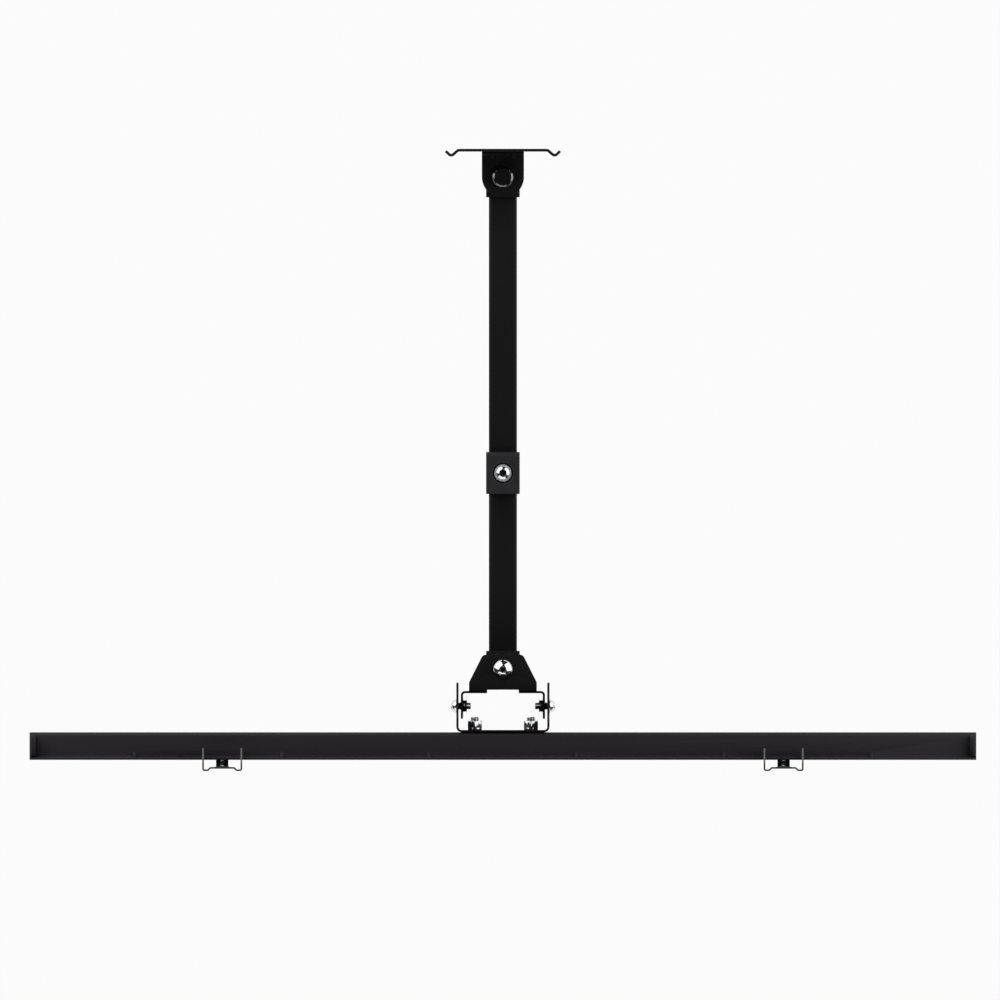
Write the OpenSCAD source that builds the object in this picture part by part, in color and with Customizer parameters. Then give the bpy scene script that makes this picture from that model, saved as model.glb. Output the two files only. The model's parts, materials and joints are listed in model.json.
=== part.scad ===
// Full-motion wall mount for a large flat television: a wall plate, a folding arm of
// box tubes, a swivel and tilt head, two levelling rails and two hook-on screen brackets.
// +X is to the right of someone who faces the wall, +Y points into the wall, +Z is up.
// The origin is the middle of the wall plate's back face. A depth is a distance out from
// the wall, so a point at depth d lies at Y = -d.

/* [Wall plate] */
// Height of the wall plate
plate_h = 260; // [210:5:320]
// Width of the wall plate over its two side beads
plate_w = 82.8; // [78:0.2:100]
// Thickness of the wall plate
plate_t = 2; // [1.5:0.25:2.5]
// How far a side bead stands out beyond the flat of the plate
bead_out = 3.1; // [2:0.1:5]
// Diameter of the four corner holes
corner_hole = 9; // [6:0.5:10]
// Distance between the corner holes across the plate
corner_dx = 44; // [36:1:48]
// Distance between the corner holes up the plate
corner_dz = 180; // [170:1:190]
// Length of each stud slot, across the plate
stud_slot_l = 26; // [16:1:40]
// Height of a stud slot above or below the middle of the plate
stud_slot_z = 112; // [104:1:116]

/* [Wall hinge] */
// Depth of the wall pivot
wall_pivot_d = 20; // [19:0.5:30]
// Width of the hinge ears
ear_w = 30; // [28:0.5:36]
// Thickness of the hinge ears
ear_t = 2; // [1.5:0.25:3]
// Height of the flange that welds a hinge ear to the wall plate
ear_flange_h = 14; // [10:0.5:14.5]
// Diameter of the wall pivot bolt
wall_bolt = 10; // [8:0.5:10]
// Diameter of the head of the wall pivot bolt
wall_bolt_head = 15.6; // [15:0.1:18]

/* [Arms] */
// Distance from the wall pivot to the elbow
rear_arm_l = 211; // [150:1:300]
// Distance from the elbow to the head pivot
front_arm_l = 140; // [110:1:260]
// Width of the arm tubes
tube_w = 20; // [18:0.5:22]
// Height of each of the two rear tubes
rear_tube_h = 26; // [22:0.5:28]
// Height of the front tube
front_tube_h = 40; // [30:1:48]
// Wall of the tubes
tube_wall = 1.5; // [1:0.25:2.5]
// Width of the knuckles
knuckle_w = 24; // [23.5:0.5:26]
// Height of the front arm's elbow knuckle
elbow_gap_h = 60; // [56:1:64]
// Diameter of the elbow and head pivot bolts
arm_bolt = 8; // [6:0.5:8]

/* [Head] */
// Thickness of the head and tilt brackets
head_t = 1.6; // [1.5:0.1:2]
// Outer width of the head bracket
head_w = 60; // [58:0.5:62]
// Height between the two ears of the head bracket
head_h = 84; // [78:1:88]
// Width of the opening in the web of the head bracket
head_window_w = 22.5; // [16:0.5:24]
// Distance from the head pivot forward to the tilt pivot
tilt_setback = 26; // [26:0.5:30]
// Tilt up and down from upright, in degrees
tilt_range = 15; // [5:1:15]
// Distance from the tilt pivot up to the tilt lock screws
tilt_lock_r = 32; // [28:1:34]
// Gap between the head bracket and each wing of the tilt bracket
wing_gap = 1.6; // [1.4:0.1:2]
// Height of the tilt bracket
tilt_h = 180; // [176:1:200]

/* [Rails] */
// Length of the two rails
rail_l = 674.6; // [560:0.1:760]
// Depth of a rail from its back to the front of its hook lip
rail_depth = 19.7; // [18:0.1:24]
// Thickness of the rails
rail_t = 1.5; // [1.2:0.1:2]
// Distance between the shelves of the two rails
shelf_pitch = 176; // [170:1:184]
// Height of a rail's back
rail_back_h = 28; // [26:1:34]
// Height of the hook lip
lip_h = 12; // [10:0.5:14]
// Distance between the rail bolts across the tilt bracket
rail_bolt_dx = 40; // [34:1:44]
// Distance between the rail bolts up the tilt bracket
rail_bolt_dz = 148; // [142:1:150]
// Roll of the rails to either side for levelling, in degrees
level_range = 3; // [1:0.5:3]

/* [Screen brackets] */
// Distance between the two screen brackets
bracket_pitch = 400; // [200:10:560]
// Height of a screen bracket
bracket_h = 430; // [420:1:520]
// Width of a screen bracket
bracket_w = 28.5; // [28:0.1:34]
// Thickness of a screen bracket
bracket_t = 1.2; // [1:0.1:1.5]
// Depth of a screen bracket's side walls between the rails
bracket_wall_d = 16.4; // [15:0.1:18]
// Distance between the outer screen bolt holes
screen_hole_dz = 400; // [400:1:402]
// Diameter of the screen bolt holes and slots
screen_hole = 8.4; // [6.4:0.1:8.6]
// Width of the lock claw
claw_w = 8.8; // [7:0.1:12]
// Travel of the lock claw
claw_travel = 9; // [8.5:0.5:10]

/* [Hidden] */
// Depths of the pivots and of the faces that stack up from the wall
elbow_d = wall_pivot_d + rear_arm_l;
head_pivot_d = elbow_d + front_arm_l;
tilt_d = head_pivot_d + tilt_setback;
head_web_d = tilt_d - 10.7;
head_flange_d = tilt_d + 9.1;
tilt_back_d = tilt_d - 16.7;
rail_back_d = tilt_d + 18.7;
rail_front_d = rail_back_d + rail_depth;
screen_d = rail_front_d + 8;

// Heights that stack up from the middle of the arm
knuckle_wall = (knuckle_w - tube_w) / 2;
bush_flange = 1;
rear_knuckle_z = elbow_gap_h / 2 + bush_flange;
rear_knuckle_h = rear_tube_h + 2 * knuckle_wall;
arm_top_z = rear_knuckle_z + rear_knuckle_h;
ear_z = arm_top_z + bush_flange;
head_ear_z = head_h / 2;
shelf_z = shelf_pitch / 2;
lip_z = shelf_z + lip_h;

// Lengths of the knuckles from their pivot and of the tube seats in them
wall_knuckle_reach = 14.6;
elbow_block_l = 30;
head_knuckle_reach = 13.3;
tube_seat = 5.5;

// Running and seating clearances, on the radius
running = 0.05;
seated = 0.02;
bush_l = 14;
bush_wall = 2.5;
bush_flange_r = 10;

// Nuts and washers of the pivots, and the bolt end that stands out beyond a nut
pivot_nut_h = 8;
pivot_washer_t = 1.6;
arm_nut_af = 13;
bolt_end = 3;

// Elbow covers and the flanged head of the elbow bolt in its well
elbow_cap_t = 4;
elbow_cap_well = 14.3;
elbow_nut_well = 16.5;
elbow_flange = [12.6, 2.6];
elbow_dome = [9.2, 1.3];

// Tilt screws, with their nuts inside the head bracket
tilt_screw = 5;
tilt_half_w = head_w / 2 + wing_gap + head_t;
tilt_nut_af = 8;
tilt_nut_h = 2.7;
tilt_screw_end = 2.8;

// Rail bolts, with narrow spring washers and nuts behind the tilt bracket
rail_bolt_d = 6;
rail_washer_t = 1.6;
rail_nut_af = 10;
rail_nut_h = 5;

// Inner bend radius of the sheet parts and the steps that draw a bend
bend_r = 1.4;
bend_steps = 6;
corner_steps = 5;
// Reach that clears the whole mount, for cutting shapes
clear = 900;

$fn = 64;

steel = "#1c1b1d";
rail_steel = "#2d2b2e";
moulding = "#2b2a2d";
nylon = "#3a3a3c";
chrome = "#c9cacd";
black_zinc = "#0d0d0e";

// Sheet shapes

// Vector v at length one
function unit(v) = v / norm(v);
// Vector v turned a quarter turn to the left
function left_of(v) = [-v[1], v[0]];
// Vector v turned by angle a
function turned(v, a) = [v[0] * cos(a) - v[1] * sin(a), v[0] * sin(a) + v[1] * cos(a)];
// Angle by which the way from u to w turns, positive to the left
function turn(u, w) = atan2(u[0] * w[1] - u[1] * w[0], u[0] * w[0] + u[1] * w[1]);

// Points and normals round the bend of radius r at corner b of the way a, b, c
function bend(a, b, c, r, steps) =
    let (
        u = unit(b - a),
        angle = turn(u, c - b),
        side = sign(angle),
        centre = b - u * r * tan(abs(angle) / 2) + left_of(u) * r * side
    )
    [for (k = [0 : steps])
        let (n = turned(left_of(u), angle * k / steps)) [centre - n * r * side, n]];

// Points and normals along an open path whose inner corners are bent to radius r
function stations(path, r) =
    let (last = len(path) - 1)
    concat(
        [[path[0], left_of(unit(path[1] - path[0]))]],
        [for (i = [1 : last - 1])
            each bend(path[i - 1], path[i], path[i + 1], r, bend_steps)],
        [[path[last], left_of(unit(path[last] - path[last - 1]))]]
    );

// Closed outline with each corner rounded to radius r
function rounded(pts, r) =
    let (n = len(pts))
    [for (i = [0 : n - 1], s = bend(pts[(i + n - 1) % n], pts[i], pts[(i + 1) % n], r,
        corner_steps)) s[0]];

// Path mirrored in X and joined end to end with the original
function both_sides(half) =
    concat([for (i = [len(half) - 1 : -1 : 0]) [-half[i][0], half[i][1]]], half);

// Edge view of a sheet of thickness t whose middle runs along path
module sheet(path, t, inner_r = bend_r) {
    s = stations(path, inner_r + t / 2);
    last = len(s) - 1;
    polygon(concat(
        [for (e = s) e[0] + e[1] * t / 2],
        [for (k = [0 : last]) s[last - k][0] - s[last - k][1] * t / 2]
    ));
}

module rounded_box(w, h, r) {
    polygon(rounded([[-w / 2, -h / 2], [w / 2, -h / 2], [w / 2, h / 2], [-w / 2, h / 2]], r));
}

// Round-ended slot of length l over its ends and width w, along X
module slot(l, w) {
    square([l - w, w], center = true);
    for (side = [-1, 1])
        translate([side * (l - w) / 2, 0])
            circle(d = w);
}

// Point at angle a and distance r from the middle
function polar(r, a) = r * [cos(a), sin(a)];

// Round-ended slot of width w that follows radius r from angle a0 to angle a1
module arc_slot(r, w, a0, a1) {
    side_steps = 8;
    end_steps = 10;
    side = [for (k = [0 : side_steps]) a0 + (a1 - a0) * k / side_steps];
    cap = [for (k = [1 : end_steps - 1]) 180 * k / end_steps];
    polygon(concat(
        [for (a = side) polar(r + w / 2, a)],
        [for (b = cap) polar(r, a1) + polar(w / 2, a1 + b)],
        [for (k = [side_steps : -1 : 0]) polar(r - w / 2, side[k])],
        [for (b = cap) polar(r, a0) + polar(w / 2, a0 + 180 + b)]
    ));
}

// Directions of extrusion

// Plan outline raised from height z0 to z1
module upright(z0, z1) {
    translate([0, 0, z0])
        linear_extrude(z1 - z0)
            children();
}

// Outline in X and Z carried out from depth d0 to d1
module outward(d0, d1) {
    translate([0, -d0, 0])
        rotate([90, 0, 0])
            linear_extrude(d1 - d0)
                children();
}

// Outline in Y and Z carried across from x0 to x1
module across(x0, x1) {
    translate([x0, 0, 0])
        rotate([90, 0, 90])
            linear_extrude(x1 - x0)
                children();
}

// Repeats a shape above and below the middle of the arm
module above_and_below() {
    for (side = [0, 1])
        mirror([0, 0, side])
            children();
}

// Repeats a shape on the left and on the right
module left_and_right() {
    for (side = [0, 1])
        mirror([side, 0, 0])
            children();
}

// Fasteners, drawn upright with the seat of the head or nut at the origin

// Head of diameter d and height h with a dome of height rise and a hexagon socket of
// size af
module button_head(d, h, af, rise) {
    ball = (d * d / 4 + rise * rise) / (2 * rise);
    difference() {
        intersection() {
            translate([0, 0, h - ball])
                sphere(ball, $fn = 96);
            cylinder(d = d, h = h);
        }
        if (af > 0)
            translate([0, 0, h * 0.4])
                cylinder(d = af / cos(30), h = h, $fn = 6);
    }
}

// Low head of diameter d and height h with a flat top and a rim rounded to radius r
module pan_head(d, h, r) {
    rim = [for (k = [0 : corner_steps]) polar(r, 90 * k / corner_steps)];
    rotate_extrude()
        polygon(concat([[0, 0], [d / 2, 0]], [for (p = rim) p + [d / 2 - r, h - r]], [[0, h]]));
}

// Shank of diameter d that hangs l below the seat, rooted in the head, with a chamfered tip
module shank(d, l) {
    tip = d / 12;
    root = 0.8;
    rotate_extrude()
        polygon([[0, -l], [d / 2 - tip, -l], [d / 2, tip - l], [d / 2, root], [0, root]]);
}

// Hexagon nut of size af and height h round a hole of diameter d
module hex_nut(af, h, d) {
    corner = af / cos(30);
    difference() {
        intersection() {
            cylinder(d = corner, h = h, $fn = 6);
            union() {
                translate([0, 0, h / 5])
                    cylinder(d = corner, h = h * 3 / 5);
                translate([0, 0, h * 4 / 5])
                    cylinder(d1 = corner, d2 = af, h = h / 5);
                cylinder(d1 = af, d2 = corner, h = h / 5);
            }
        }
        translate([0, 0, -h])
            cylinder(d = d, h = 3 * h);
    }
}

// Locking nut whose round collar stands on its hexagon
module lock_nut(af, h, d) {
    collar = h / 4;
    hex_nut(af, h - collar, d);
    difference() {
        translate([0, 0, h - collar])
            cylinder(d = af * 0.86, h = collar);
        cylinder(d = d, h = 2 * h);
    }
}

module washer(outer, inner, h) {
    difference() {
        cylinder(d = outer, h = h);
        translate([0, 0, -h])
            cylinder(d = inner, h = 3 * h);
    }
}

// Moves a shape to a vertical pivot at depth d and height z
module at_pivot(d, z) {
    translate([0, -d, z])
        children();
}

// Bore of diameter d right through everything at a vertical pivot
module pivot_bore(d, depth) {
    at_pivot(depth, -clear / 2)
        cylinder(d = d, h = clear);
}

// Pair of flanged bushes that fill a knuckle's ends at heights z and -z
module bush_pair(bolt, depth, z) {
    color(nylon)
        above_and_below()
            at_pivot(depth, z)
                difference() {
                    union() {
                        cylinder(r = bush_flange_r, h = bush_flange);
                        translate([0, 0, -bush_l])
                            cylinder(r = bolt / 2 + bush_wall, h = bush_l + bush_flange / 2);
                    }
                    translate([0, 0, -2 * bush_l])
                        cylinder(r = bolt / 2 + running, h = 3 * bush_l);
                }
}

// Seats for a bush pair, cut from a knuckle whose ends are at z and -z
module bush_seats(bolt, depth, z) {
    pivot_bore(bolt + 1, depth);
    above_and_below()
        at_pivot(depth, z - bush_l - 0.5)
            cylinder(r = bolt / 2 + bush_wall + seated, h = bush_l + 5);
}

// Wall plate and its hinge

// Half of the wall plate's edge view, from the middle out to the tip of the bead
wall_plate_path = let (
        mid = plate_t / 2,
        tip_x = plate_w / 2 - plate_t * 0.3,
        trough_x = plate_w / 2 - 4.5
    )
    [[trough_x - 5, -mid], [trough_x, -mid - bead_out * 1.4], [tip_x, -mid - bead_out * 0.2]];

module wall_plate() {
    corner_r = 6;
    color(steel)
        difference() {
            intersection() {
                upright(-plate_h / 2, plate_h / 2)
                    sheet(both_sides(wall_plate_path), plate_t, 1.2);
                outward(-1, 12)
                    rounded_box(plate_w + 2, plate_h, corner_r);
            }
            outward(-1, plate_t + 1) {
                for (sx = [-1, 1], sz = [-1, 1])
                    translate([sx * corner_dx / 2, sz * corner_dz / 2])
                        circle(d = corner_hole);
                for (sz = [-1, 1])
                    translate([0, sz * stud_slot_z])
                        slot(stud_slot_l, corner_hole);
            }
        }
}

// Pressed triangular rib in the bend of the upper hinge ear, at x
module hinge_gusset(x) {
    leg = 2.6;
    rib_w = 2.5;
    sunk = ear_t / 2;
    front = plate_t + ear_t;
    top = ear_z + ear_t;
    translate([x, 0, 0])
        across(-rib_w / 2, rib_w / 2)
            polygon([[sunk - front, top - sunk], [-front - leg, top - sunk],
                [-front - leg, top], [-front, top + leg], [sunk - front, top + leg]]);
}

// Plan of a hinge ear, round at its free end
module hinge_ear_plan() {
    translate([-ear_w / 2, -wall_pivot_d])
        square([ear_w, wall_pivot_d]);
    translate([0, -wall_pivot_d])
        circle(d = ear_w);
}

// Ear with a flange that stands up on the wall plate; side is 1 above the arm and -1 below
module hinge_ear(side) {
    tip_cut = 0.8;
    ear_end_d = wall_pivot_d + ear_w / 2 - tip_cut;
    mid_d = plate_t + ear_t / 2;
    mid_z = ear_z + ear_t / 2;
    flange_top = ear_z + ear_t + ear_flange_h;
    gusset_x = 7.2;
    color(steel)
        mirror([0, 0, side > 0 ? 0 : 1])
            difference() {
                union() {
                    intersection() {
                        across(-ear_w / 2, ear_w / 2)
                            sheet([[-ear_end_d, mid_z], [-mid_d, mid_z],
                                [-mid_d, flange_top]], ear_t);
                        upright(ear_z - 1, flange_top + 1)
                            hinge_ear_plan();
                    }
                    for (x = [-gusset_x, gusset_x])
                        hinge_gusset(x);
                }
                pivot_bore(wall_bolt + 2 * running, wall_pivot_d);
            }
}

module upper_hinge_ear() {
    hinge_ear(1);
}

module lower_hinge_ear() {
    hinge_ear(-1);
}

module wall_pivot_bolt() {
    head_h = 4.2;
    rim_r = 2.4;
    color(black_zinc)
        at_pivot(wall_pivot_d, ear_z + ear_t) {
            pan_head(wall_bolt_head, head_h, rim_r);
            shank(wall_bolt, 2 * (ear_z + ear_t) + pivot_washer_t + pivot_nut_h + bolt_end);
        }
}

module wall_pivot_washer() {
    color(chrome)
        at_pivot(wall_pivot_d, -ear_z - ear_t - pivot_washer_t)
            washer(wall_bolt * 2, wall_bolt + 2 * seated, pivot_washer_t);
}

module wall_pivot_nut() {
    color(chrome)
        at_pivot(wall_pivot_d, -ear_z - ear_t - pivot_washer_t)
            mirror([0, 0, 1])
                lock_nut(wall_bolt * 1.6, pivot_nut_h, wall_bolt + 2 * seated);
}

// Arms

// Outside of a tube of width w and height h, minus the bore when hollow
module tube_section(w, h, hollow) {
    corner_r = 2.4;
    difference() {
        rounded_box(w, h, corner_r);
        if (hollow)
            rounded_box(w - 2 * tube_wall, h - 2 * tube_wall, corner_r - tube_wall);
    }
}

// Block of a knuckle between depths d0 and d1 around a tube of height h, at height z
module tube_block(d0, d1, h, z = 0) {
    translate([0, 0, z])
        outward(d0, d1)
            rounded_box(knuckle_w, h + 2 * knuckle_wall, 1.2);
}

// Room between depths d0 and d1 for the end of a tube of height h, at height z
module tube_room(d0, d1, h, z = 0) {
    translate([0, 0, z])
        outward(d0, d1)
            tube_section(tube_w + 2 * seated, h + 2 * seated, false);
}

rear_tube_z = rear_knuckle_z + rear_knuckle_h / 2;
rear_tube_start = wall_pivot_d + wall_knuckle_reach - tube_seat;
rear_tube_end = elbow_d - elbow_block_l / 2 + tube_seat;
front_tube_start = elbow_d + elbow_block_l / 2 - tube_seat;
front_tube_end = head_pivot_d - head_knuckle_reach + tube_seat;

module rear_tube(side) {
    color(steel)
        translate([0, 0, side * rear_tube_z])
            outward(rear_tube_start, rear_tube_end)
                tube_section(tube_w, rear_tube_h, true);
}

module rear_upper_tube() {
    rear_tube(1);
}

module rear_lower_tube() {
    rear_tube(-1);
}

// Barrel on the wall pivot with a tube block at each end
module rear_wall_knuckle() {
    reach_d = wall_pivot_d + wall_knuckle_reach;
    waist_r = knuckle_w / 2 - 2;
    color(steel)
        difference() {
            union() {
                at_pivot(wall_pivot_d, -rear_knuckle_z)
                    cylinder(r = waist_r, h = 2 * rear_knuckle_z);
                above_and_below()
                    at_pivot(wall_pivot_d, rear_knuckle_z)
                        cylinder(d = knuckle_w, h = rear_knuckle_h);
                above_and_below()
                    tube_block(wall_pivot_d, reach_d, rear_tube_h, rear_tube_z);
            }
            above_and_below()
                tube_room(rear_tube_start, reach_d + 1, rear_tube_h, rear_tube_z);
            bush_seats(wall_bolt, wall_pivot_d, arm_top_z);
        }
}

module wall_pivot_bushes() {
    bush_pair(wall_bolt, wall_pivot_d, arm_top_z);
}

// Block of the rear arm above or below the elbow
module elbow_knuckle(side) {
    d0 = elbow_d - elbow_block_l / 2;
    color(steel)
        difference() {
            tube_block(d0, d0 + elbow_block_l, rear_tube_h, side * rear_tube_z);
            tube_room(d0 - 1, rear_tube_end, rear_tube_h, side * rear_tube_z);
            pivot_bore(arm_bolt + 2 * running, elbow_d);
        }
}

module elbow_upper_knuckle() {
    elbow_knuckle(1);
}

module elbow_lower_knuckle() {
    elbow_knuckle(-1);
}

// Moulded cover on the outer face of an elbow block, with a well for the bolt's head
module elbow_cap(side, well) {
    slope = 2.2;
    corner_r = 2.6;
    half_l = elbow_block_l / 2;
    color(moulding)
        mirror([0, 0, side > 0 ? 0 : 1])
            at_pivot(elbow_d, arm_top_z)
                difference() {
                    intersection() {
                        across(-knuckle_w / 2, knuckle_w / 2)
                            polygon([[-half_l, 0], [half_l, 0], [half_l, elbow_cap_t - slope],
                                [half_l - slope, elbow_cap_t], [slope - half_l, elbow_cap_t],
                                [-half_l, elbow_cap_t - slope]]);
                        upright(-1, elbow_cap_t + 1)
                            rounded_box(knuckle_w, elbow_block_l, corner_r);
                    }
                    translate([0, 0, -1])
                        cylinder(d = well, h = elbow_cap_t + 2);
                }
}

module elbow_upper_cap() {
    elbow_cap(1, elbow_cap_well);
}

module elbow_lower_cap() {
    elbow_cap(-1, elbow_nut_well);
}

module elbow_bolt() {
    dome_rim = 0.9;
    head_h = elbow_flange[1] + dome_rim + elbow_dome[1];
    color(chrome)
        at_pivot(elbow_d, arm_top_z) {
            difference() {
                cylinder(d = elbow_flange[0], h = elbow_flange[1]);
                cylinder(d = elbow_dome[0] / 2, h = 2 * head_h);
            }
            button_head(elbow_dome[0], head_h, 4, elbow_dome[1]);
            shank(arm_bolt, 2 * arm_top_z + pivot_nut_h + bolt_end);
        }
}

module elbow_nut() {
    color(chrome)
        at_pivot(elbow_d, -arm_top_z)
            mirror([0, 0, 1])
                lock_nut(arm_nut_af, pivot_nut_h, arm_bolt + 2 * seated);
}

module front_tube() {
    color(steel)
        outward(front_tube_start, front_tube_end)
            tube_section(tube_w, front_tube_h, true);
}

// Knuckle with a tall barrel of half height z at depth d and a tube block out to reach_d
module barrel_knuckle(d, z, reach_d, seat_d) {
    mouth_d = reach_d + sign(reach_d - d);
    color(steel)
        difference() {
            union() {
                at_pivot(d, -z)
                    cylinder(d = knuckle_w, h = 2 * z);
                tube_block(min(d, reach_d), max(d, reach_d), front_tube_h);
            }
            tube_room(min(seat_d, mouth_d), max(seat_d, mouth_d), front_tube_h);
            bush_seats(arm_bolt, d, z);
        }
}

module front_elbow_knuckle() {
    reach_d = elbow_d + elbow_block_l / 2;
    barrel_knuckle(elbow_d, elbow_gap_h / 2, reach_d, front_tube_start);
}

module front_head_knuckle() {
    reach_d = head_pivot_d - head_knuckle_reach;
    barrel_knuckle(head_pivot_d, head_ear_z - bush_flange, reach_d, front_tube_end);
}

module elbow_bushes() {
    bush_pair(arm_bolt, elbow_d, elbow_gap_h / 2);
}

module head_pivot_bushes() {
    bush_pair(arm_bolt, head_pivot_d, head_ear_z - bush_flange);
}

// Head

head_ear_front_w = 48.3;
head_ear_back_w = 28.5;
head_ear_back_d = head_pivot_d - 10.6;
head_ear_slope_d = head_pivot_d + 9.1;
head_ear_window_d = head_pivot_d + 14.3;

// Plan of a head ear: a trapezoid that widens towards the web
module head_ear_plan() {
    front = head_ear_front_w / 2;
    back = head_ear_back_w / 2;
    web = head_web_d + 10;
    polygon(rounded([[-back, -head_ear_back_d], [-front, -head_ear_slope_d], [-front, -web],
        [front, -web], [front, -head_ear_slope_d], [back, -head_ear_back_d]], 3.6));
}

// Side view that trims the front corners of the flanges so that the head clears the
// tilt bracket when it tips
module head_side_view() {
    top = head_ear_z;
    polygon([[-head_flange_d, -28], [-head_flange_d, 28], [4.6 - head_flange_d, top],
        [-head_web_d, top], [-head_web_d, -top], [4.6 - head_flange_d, -top]]);
}

module head_bracket() {
    mid_x = head_w / 2 - head_t / 2;
    mid_d = head_web_d + head_t / 2;
    mid_z = head_ear_z + head_t / 2;
    strip = head_ear_front_w / 2;
    relief = 2.4;
    window = head_window_w / 2;
    color(steel)
        difference() {
            union() {
                intersection() {
                    upright(-head_ear_z + relief, head_ear_z - relief)
                        sheet([[-mid_x, -head_flange_d], [-mid_x, -mid_d], [mid_x, -mid_d],
                            [mid_x, -head_flange_d]], head_t);
                    across(-head_w, head_w)
                        head_side_view();
                }
                intersection() {
                    across(-strip, strip)
                        sheet([[-head_ear_back_d, mid_z], [-mid_d, mid_z], [-mid_d, -mid_z],
                            [-head_ear_back_d, -mid_z]], head_t);
                    upright(-head_h, head_h)
                        head_ear_plan();
                }
            }
            translate([-window, -head_web_d - 10, -head_h])
                cube([head_window_w, head_web_d + 10 - head_ear_window_d, 2 * head_h]);
            pivot_bore(arm_bolt + 2 * running, head_pivot_d);
            for (z = [0, tilt_lock_r])
                across(-head_w, head_w)
                    translate([-tilt_d, z])
                        circle(d = tilt_screw + 2 * running);
        }
}

module head_pivot_bolt() {
    dome_h = 4.4;
    color(chrome)
        at_pivot(head_pivot_d, head_ear_z + head_t) {
            button_head(14, dome_h, 4, dome_h);
            shank(arm_bolt, 2 * (head_ear_z + head_t) + pivot_nut_h + bolt_end);
        }
}

module head_pivot_nut() {
    color(chrome)
        at_pivot(head_pivot_d, -head_ear_z - head_t)
            mirror([0, 0, 1])
                lock_nut(arm_nut_af, pivot_nut_h, arm_bolt + 2 * seated);
}

// Tilt joint: screws across the head at the tilt pivot and at the lock slots

// Puts a shape drawn upright at distance x out from the middle, facing outward
module at_side(x, z) {
    translate([x, -tilt_d, z])
        rotate([0, 90, 0])
            children();
}

module tilt_screw_pair(z) {
    shank_l = tilt_half_w - head_w / 2 + head_t + tilt_nut_h + tilt_screw_end;
    dome_h = 4.4;
    color(chrome)
        left_and_right()
            at_side(tilt_half_w, z) {
                button_head(9.5, dome_h, 3, dome_h);
                shank(tilt_screw, shank_l);
            }
}

module tilt_pivot_screws() {
    tilt_screw_pair(0);
}

module tilt_lock_screws() {
    tilt_screw_pair(tilt_lock_r);
}

module tilt_nuts() {
    color(black_zinc)
        left_and_right()
            for (z = [0, tilt_lock_r])
                at_side(head_w / 2 - head_t - tilt_nut_h, z)
                    hex_nut(tilt_nut_af, tilt_nut_h, tilt_screw + 2 * seated);
}

level_r = norm([rail_bolt_dx, rail_bolt_dz]) / 2;
level_a = atan2(rail_bolt_dz, rail_bolt_dx);
level_slot_w = rail_bolt_d + 0.5;
tilt_slot_w = tilt_screw + 0.3;

// Side view of the tilt bracket: full wings beside the head, with a waist where they swing
// past the arm's tube, and narrow wings to the ends
module tilt_side_view() {
    top = tilt_h / 2;
    wing_top = 48;
    wing_bottom = -24;
    waist_top = 31;
    waist = 2.5;
    slope = 24;
    waist_d = tilt_back_d + waist;
    lip_d = rail_back_d - 11;
    front = rail_back_d + 1;
    polygon(rounded([[-waist_d, wing_bottom], [-lip_d, wing_bottom - slope], [-lip_d, -top],
        [-front, -top], [-front, top], [-lip_d, top], [-lip_d, wing_top + slope * 3 / 4],
        [-tilt_back_d, wing_top], [-tilt_back_d, waist_top], [-waist_d, waist_top - 4]], 4.5));
}

module tilt_bracket() {
    mid_x = tilt_half_w - head_t / 2;
    web_d = rail_back_d - head_t / 2;
    margin = level_range + 0.3;
    color(steel)
        difference() {
            intersection() {
                upright(-tilt_h / 2, tilt_h / 2)
                    sheet([[-mid_x, -tilt_back_d], [-mid_x, -web_d], [mid_x, -web_d],
                        [mid_x, -tilt_back_d]], head_t, 2.2);
                across(-head_w, head_w)
                    tilt_side_view();
            }
            across(-head_w, head_w)
                translate([-tilt_d, 0]) {
                    circle(d = tilt_screw + 2 * running);
                    arc_slot(tilt_lock_r, tilt_slot_w, 90 - tilt_range, 90 + tilt_range);
                }
            outward(rail_back_d - 5, rail_back_d + 5)
                for (a = [level_a, 180 - level_a, 180 + level_a, -level_a])
                    arc_slot(level_r, level_slot_w, a - margin, a + margin);
        }
}

// Rails

rail_mid_d = rail_back_d + rail_t / 2;
lip_mid_d = rail_front_d - rail_t / 2;

// Edge view path of the upper rail: back, shelf and upstanding hook lip
rail_path = [
    [-rail_mid_d, shelf_z - rail_back_h],
    [-rail_mid_d, shelf_z - rail_t / 2],
    [-lip_mid_d, shelf_z - rail_t / 2],
    [-lip_mid_d, lip_z]
];

// Pressed rib that stiffens the bend between the shelf and the lip, at x
module lip_gusset(x) {
    leg_d = 4.3;
    leg_z = 5;
    rib_w = 2.2;
    translate([x, 0, 0])
        across(-rib_w / 2, rib_w / 2)
            polygon([[-lip_mid_d, shelf_z - rail_t / 2],
                [-rail_front_d + rail_t + leg_d, shelf_z],
                [-rail_front_d + rail_t, shelf_z + leg_z], [-lip_mid_d, shelf_z + leg_z]]);
}

module rail(side) {
    gusset_pitch = 105;
    color(rail_steel)
        mirror([0, 0, side > 0 ? 0 : 1])
            difference() {
                union() {
                    across(-rail_l / 2, rail_l / 2)
                        sheet(rail_path, rail_t);
                    for (k = [-2.5 : 1 : 2.5])
                        lip_gusset(k * gusset_pitch);
                }
                outward(rail_back_d - 1, rail_back_d + rail_t + 1)
                    for (sx = [-1, 1])
                        translate([sx * rail_bolt_dx / 2, rail_bolt_dz / 2])
                            circle(d = rail_bolt_d + 2 * running);
            }
}

module upper_rail() {
    rail(1);
}

module lower_rail() {
    rail(-1);
}

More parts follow.
